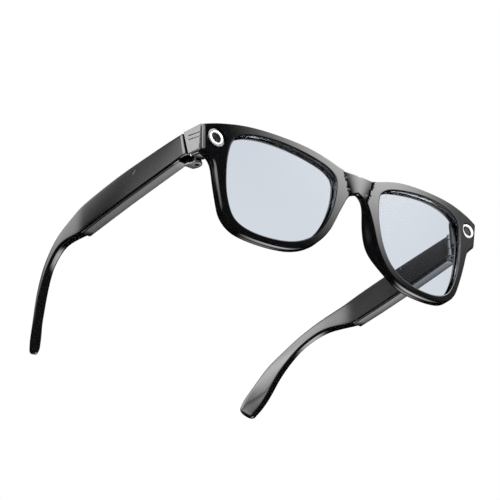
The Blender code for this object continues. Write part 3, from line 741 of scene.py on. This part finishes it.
def side_plate(side, name, node):
    """Plate that flares outwards towards the temple, with its lines cut in."""
    rings = []
    for z, inset in PLATE_LAYERS:
        y0, y1 = face_y(HALF_W, z) + 1.95, split_y(z)
        x0 = PLATE_X
        x1 = x0 + (y1 - y0) * PLATE_FLARE
        b = PLATE_BEVEL
        pts = [(x0 - 0.8, y0), (x0 - inset - b, y0), (x0 - inset, y0 + b),
               (x1 - inset, y1 - b), (x1 - inset - b, y1), (x1 - 0.8, y1)]
        rings.append([(side * x, y, z) for x, y in pts])
    ob = loft(name, rings, plate_grey, keep=25)
    for z0 in LINE_HEIGHTS:
        outline = [(0.0, -LINE_HALF)]
        for k in range(7):
            a = math.pi * (k / 6 - 0.5)
            outline.append((LINE_END + LINE_HALF * math.cos(a), LINE_HALF * math.sin(a)))
        outline.append((0.0, LINE_HALF))
        rings = []
        for lift in (-0.32, 1.2):
            rings.append([(side * (PLATE_X + (y - 2.5) * PLATE_FLARE + lift), y, z0 + y * LINE_RISE + h)
                          for y, h in outline])
        cut(ob, loft("groove", rings, None))
    crisp(ob, 25)
    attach(ob, "front")
    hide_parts(node)


side_plate(1, "end_plate_left", "side_plate_left")
side_plate(-1, "end_plate_right", "side_plate_right")

# ==== Temples ================================================================================
# Hollow satin mouldings: a deep straight part for the electronics, then a slim ear hook that
# drops and turns inwards to a rounded tip.
STRAIGHT = [  # x, y, centre z, height, thickness; the hook adds its roll in degrees, lower edge out
    (70.95, 8.0, -4.25, 10.1, 5.2, 0), (71.3, 13.4, -4.25, 10.5, 5.2, 0), (71.9, 26, -4.35, 11.3, 5.2, 0),
    (72.8, 50, -4.65, 12.3, 5.2, 0), (73.1, 66, -5.1, 12.4, 5.2, 0), (73.15, 79, -5.55, 12.1, 5.1, 0)]
HOOK = [(73.1, 83.3, -5.9, 12.0, 5.0, 0), (72.8, 87.5, -5.6, 10.5, 4.7, 0), (70.9, 103, -5.4, 6.5, 4.2, 0),
        (68.3, 115.8, -8.6, 5.6, 3.7, 0), (66.0, 124, -13.4, 6.3, 3.9, 2), (63.4, 131.3, -19.3, 7.9, 4.3, 6),
        (60.7, 138.4, -28.0, 9.3, 4.4, 10), (58.6, 142.9, -33.2, 9.2, 4.3, 12),
        (58.0, 144.2, -35.0, 8.2, 4.1, 12)]
ARM_STEP = 1.3
satin_black = moulded("satin_black", (0.0022, 0.0022, 0.0025), (0.0036, 0.0036, 0.004),
                      0.13, 0.04, 0.04, clouds=60, grain=3200)
FRONT_END = split_y(-4.5) + GAP


def arm_line():
    """Even stations along the arm, smoothed."""
    rows = STRAIGHT + HOOK
    fine = []
    for i in range(len(rows) - 1):
        p0, p3 = rows[max(i - 1, 0)], rows[min(i + 2, len(rows) - 1)]
        span = math.dist(rows[i][:3], rows[i + 1][:3])
        steps = max(2, round(span / ARM_STEP))
        fine += [spline(p0, rows[i], rows[i + 1], p3, k / steps) for k in range(steps)]
    fine.append(list(rows[-1]))
    return [r for r in mend(fine, [], 8) if r[1] > FRONT_END + 0.2]


ARM_LINE = arm_line()


def arm_at(y):
    """Centre x, top z, bottom z and thickness of the straight part at y."""
    for a, b in zip(STRAIGHT, STRAIGHT[1:]):
        if y <= b[1]:
            break
    t = (y - a[1]) / (b[1] - a[1])
    x, _, zc, h, th, _ = [p + t * (q - p) for p, q in zip(a, b)]
    return x, zc + h / 2, zc - h / 2, th


def arm_ring(t, h, top_r, low_r, crown):
    """Cross-section: out, up. Outer side at +, edges rounded, sides slightly crowned."""
    a, b = t / 2, h / 2
    pts = []
    corner_steps, side_steps = 8, 8
    for su, sv, r, start in ((1, 1, top_r, 0), (-1, 1, top_r, 90), (-1, -1, low_r, 180), (1, -1, low_r, 270)):
        for k in range(corner_steps + 1):
            ang = math.radians(start + 90 * k / corner_steps)
            pts.append((su * (a - r) + r * math.cos(ang), sv * (b - r) + r * math.sin(ang)))
        if start in (90, 270):        # down the inner side, up the outer side
            s = -1 if start == 90 else 1
            r0, r1 = (top_r, low_r) if start == 90 else (low_r, top_r)
            v0, v1 = (b - r0, -b + r1) if start == 90 else (-b + r0, b - r1)
            for k in range(1, side_steps):
                pts.append((s * a, v0 + (v1 - v0) * k / side_steps))
    return [(u + math.copysign(crown * (1 - (v / b) ** 2), u), v) for u, v in pts]


TIP_RINGS, TIP_REACH = 9, 2.6


def arm_rings(side):
    """Cross-sections from the softened front end to the rounded tip."""
    pts = [Vector(r[:3]) for r in ARM_LINE]
    rings = []
    n = len(pts)
    for i, (x, y, z, h, t, roll) in enumerate(ARM_LINE):
        tan = (pts[min(i + 1, n - 1)] - pts[max(i - 1, 0)]).normalized()
        hook = smooth_step(y, 80, 100)
        if hook < 1:
            tan = Vector((tan.x * hook, tan.y, tan.z * hook)).normalized()
        up = (Vector((0, 0, 1)) - tan * tan.z).normalized()
        turn = Matrix.Rotation(-math.radians(roll), 3, tan)
        out, up = turn @ tan.cross(up), turn @ up
        top_r = 0.9 + hook * 0.3
        low_r = 0.45 + hook * 0.65
        ring = []
        for u, v in arm_ring(t - 0.3, h, top_r, low_r, 0.15):
            p = pts[i] + out * u + up * v
            lean = 1 - smooth_step(p.y, FRONT_END, FRONT_END + 8)
            ring.append((side * p.x, p.y + (p.z + 4.5) * END_SLANT * lean, p.z))
        rings.append(ring)
    # rounded tip
    tan = (pts[-1] - pts[-2]).normalized()
    c = pts[-1]
    last = [Vector((side * p[0], p[1], p[2])) for p in rings[-1]]
    for k in range(1, TIP_RINGS + 1):
        a = math.radians(90 * k / (TIP_RINGS + 0.3))
        shrink, reach = math.cos(a) ** 0.7, math.sin(a) * TIP_REACH
        ring = []
        for p in last:
            q = c + (p - c) * max(shrink, 0.05) + tan * reach
            ring.append((side * q.x, q.y, q.z))
        rings.append(ring)
    # softened front end
    first = rings[0]
    cx = sum(p[0] for p in first) / len(first)
    cz = sum(p[2] for p in first) / len(first)
    soft = [(cx + (p[0] - cx) * 0.93, p[1] - 0.25, cz + (p[2] - cz) * 0.965) for p in first]
    return [soft] + rings


def along(name, side, y0, y1, u0, u1, top, bottom, material=None, bevel=0.0):
    """Straight bar that follows the arm: u0..u1 out from its centre, top and bottom by y."""
    steps = max(2, round((y1 - y0) / 4))
    rings = []
    for k in range(steps + 1):
        y = y0 + (y1 - y0) * k / steps
        x = arm_at(y)[0]
        lo, hi = bottom(y), top(y)
        plan = [(u0, lo), (u1, lo), (u1, hi), (u0, hi)]
        if bevel:
            plan = rounded_plan(plan, bevel, 4)
        rings.append([(side * (x + u), y, z) for u, z in plan])
    if bevel:
        narrow, low = 1 - bevel * 0.7 / (u1 - u0), 0.97
        ends = []
        for ring in (rings[0], rings[-1]):
            cx = sum(p[0] for p in ring) / len(ring)
            cz = sum(p[2] for p in ring) / len(ring)
            ends.append([(cx + (x - cx) * narrow, y, cz + (z - cz) * low) for x, y, z in ring])
        rings[0] = [(x, y + bevel * 0.5, z) for x, y, z in rings[0]]
        rings[-1] = [(x, y - bevel * 0.5, z) for x, y, z in rings[-1]]
        rings = [ends[0]] + rings + [ends[1]]
    return loft(name, rings, material, keep=35)


def arm_top(y):
    return arm_at(y)[1]


def arm_low(y):
    return arm_at(y)[2]


def oblong(name, side, y, z, long, short, x0, x1, turn):
    """Tool with round ends that goes in from x0 to x1."""
    rings = []
    for x in (x0, x1):
        ring = []
        for k in range(40):
            a = 2 * math.pi * k / 40
            u = math.copysign((long - short) / 2, math.cos(a)) + short / 2 * math.cos(a)
            v = short / 2 * math.sin(a)
            ring.append((side * x, y + u * math.cos(turn) - v * math.sin(turn),
                         z + u * math.sin(turn) + v * math.cos(turn)))
        rings.append(ring)
    return loft(name, rings, None, keep=40)


MIC_Y, MIC_Z, MIC_TURN = 44.0, -2.0, math.radians(-35)


COVER_FROM, COVER_TO = 15.3, 82.0
GRILLE_Y, BUTTON_Y, CONTACT_Y = (66.7, 75.3), (17.7, 25.3), (29.0, 34.0)


def temple(side, name, body, node):
    """Hollow arm with the rooms, holes and rebate that its other parts need."""
    ob = loft(name, arm_rings(side), satin_black, keep=40)
    cut(ob, post("barrel_room", side, KNUCKLE_ROOM, -16, 6))
    cut(ob, block("leaf_notch", side, (66, 71.1), (5.0, 14.9), (-16, -1.2)))
    cut(ob, along("rebate", side, -5, COVER_TO + GAP, -4, 4, arm_low, lambda y: arm_low(y) - 6))
    cut(ob, along("room", side, 12.6, 77.0, -1.7, 1.7, lambda y: arm_top(y) - 1.0, lambda y: arm_low(y) - 3))
    xo = arm_at(MIC_Y)[0] + 2.6
    cut(ob, oblong("mic_hole", side, MIC_Y, MIC_Z, 2.6, 1.15, xo - 1.5, xo + 1, MIC_TURN))
    top_slots = (GRILLE_Y, BUTTON_Y) if side < 0 else (GRILLE_Y,)
    for y0, y1 in top_slots:
        cut(ob, along("top_slot", side, y0, y1, -1.3, 1.3,
                      lambda y: arm_top(y) + 1, lambda y: arm_top(y) - 2))
    if side < 0:
        for y in CONTACT_Y:
            xc = arm_at(y)[0] - 2.6
            cut(ob, oblong("contact_hole", side, y, -5.5, 2.61, 2.6, xc - 1, xc + 1.2, 0))
    crisp(ob, 40)
    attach(ob, body)
    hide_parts(node)
    return ob


temple(1, "temple_arm_left", "temple_left", "temple_shell_left")
temple(-1, "temple_arm_right", "temple_right", "temple_shell_right")

# ==== Hinge lugs =============================================================================
# A thin grey lug under each hinge, part of the temple, with a small dark screw in a sunk hole.
lug_grey = moulded("lug_grey", (0.05, 0.05, 0.052), (0.07, 0.07, 0.072), 0.3, 0.06, 0.1, metal=0.6)


LUG_LAYERS = [(-12.25, 0.86), (-12.2, 0.93), (-12.05, 0.98),        # z, size
              (-11.8, 1.0), (-11.35, 1.0), (-11.3, 0.97)]
LUG_MIDDLE = (68.0, 12.6)


def hinge_lug(side, name, body):
    """Thin plate, round at the pin, with eased edges."""
    outline = []
    for k in range(25):
        a = math.radians(180 + 180 * k / 24)
        outline.append((HINGE_X + 2.15 * math.cos(a), HINGE_Y + 2.15 * math.sin(a)))
    outline += [(70.6, 13.2), (71.0, 15.0), (66.6, 15.0), (65.4, 13.0)]
    cx, cy = LUG_MIDDLE
    rings = []
    for z, grow in LUG_LAYERS:
        rings.append([(side * (cx + (x - cx) * grow), cy + (y - cy) * grow, z) for x, y in outline])
    ob = loft(name, rings, lug_grey, keep=35)
    cut(ob, post("screw_hole", side, 1.0, -13, -10, turns=40))
    crisp(ob, 35)
    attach(ob, body)


PIN_PROFILE = [(-12.05, 0.7), (-11.98, 0.85), (-11.6, 0.9), (-11.55, 0.78), (-1.55, 0.78), (-1.5, 0.7)]
PIN_SLOT = ((-1, -0.14), (1, -0.14), (1, 0.14), (-1, 0.14))


def hinge_pin(side, name, node):
    """Slotted screw whose head sits in the lug's hole."""
    rings = []
    for z, r in PIN_PROFILE:
        rings.append([(side * HINGE_X + r * math.cos(a), HINGE_Y + r * math.sin(a), z)
                      for a in [2 * math.pi * k / 40 for k in range(40)]])
    ob = loft(name, rings, deep_black)
    slot = [[(side * HINGE_X + x, HINGE_Y + y, z) for x, y in PIN_SLOT] for z in (-13, -11.8)]
    cut(ob, loft("slot", slot, None))
    crisp(ob, 30)
    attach(ob, "front")
    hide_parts(node)


hinge_lug(1, "hinge_lug_left", "temple_left")
hinge_lug(-1, "hinge_lug_right", "temple_right")
hinge_pin(1, "hinge_pin_left", "hinge_screw_left")
hinge_pin(-1, "hinge_pin_right", "hinge_screw_right")

# ==== Bottom covers ==========================================================================
# A strip that closes each temple from below and ends in a blunt step.
COVER_T, COVER_GAP = 0.9, 0.3


def bottom_cover(side, name, body, node):
    ob = along(name, side, COVER_FROM, COVER_TO, -2.45, 2.0, lambda y: arm_low(y) - COVER_GAP,
               lambda y: arm_low(y) - COVER_GAP - COVER_T, satin_black, bevel=0.3)
    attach(ob, body)
    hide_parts(node)


bottom_cover(1, "belly_cover_left", "temple_left", "bottom_cover_left")
bottom_cover(-1, "belly_cover_right", "temple_right", "bottom_cover_right")

# ==== Carried frame nodes ====================================================================
# The hinge metal, boards, cells and other pieces keep their shapes and get their real finishes.
steel = moulded("hinge_steel", (0.05, 0.05, 0.052), (0.08, 0.08, 0.083), 0.3, 0.12, 0.2,
                grain=1800, metal=1.0)
board = moulded("solder_mask", (0.008, 0.07, 0.03), (0.015, 0.11, 0.05), 0.35, 0.1, 0.3,
                clouds=300, grain=1500)
amber = moulded("flex_film", (0.33, 0.13, 0.02), (0.45, 0.2, 0.04), 0.3, 0.1, 0.2, clouds=200, grain=1500)
foil = moulded("cell_foil", (0.5, 0.5, 0.52), (0.62, 0.62, 0.64), 0.34, 0.15, 0.5,
               clouds=250, grain=900, metal=0.8)
soot = moulded("speaker_plastic", (0.02, 0.02, 0.022), (0.035, 0.035, 0.038), 0.5, 0.1, 0.4)
gold = moulded("plated_gold", (0.75, 0.5, 0.17), (0.85, 0.62, 0.28), 0.22, 0.1, 0.2, metal=1.0)
FINISHES = {"front_leaf": steel, "temple_leaf": steel, "hinge_screw": steel, "tip_core": steel,
            "battery": foil, "main_board": board, "camera_board": board, "light_board": board,
            "front_flex": amber, "touch_sensor": amber, "speaker_grille": soot, "speaker": soot,
            "mic_port": soot, "antenna": gold, "contact": gold, "camera_barrel": deep_black,
            "capture_button": plate_grey}
for node_name, node in frame["nodes"].items():
    if node.hide_render:
        continue
    for start in sorted(FINISHES, key=len, reverse=True):
        if node_name.startswith(start):
            for s in node.material_slots:
                s.material = FINISHES[start]
            break
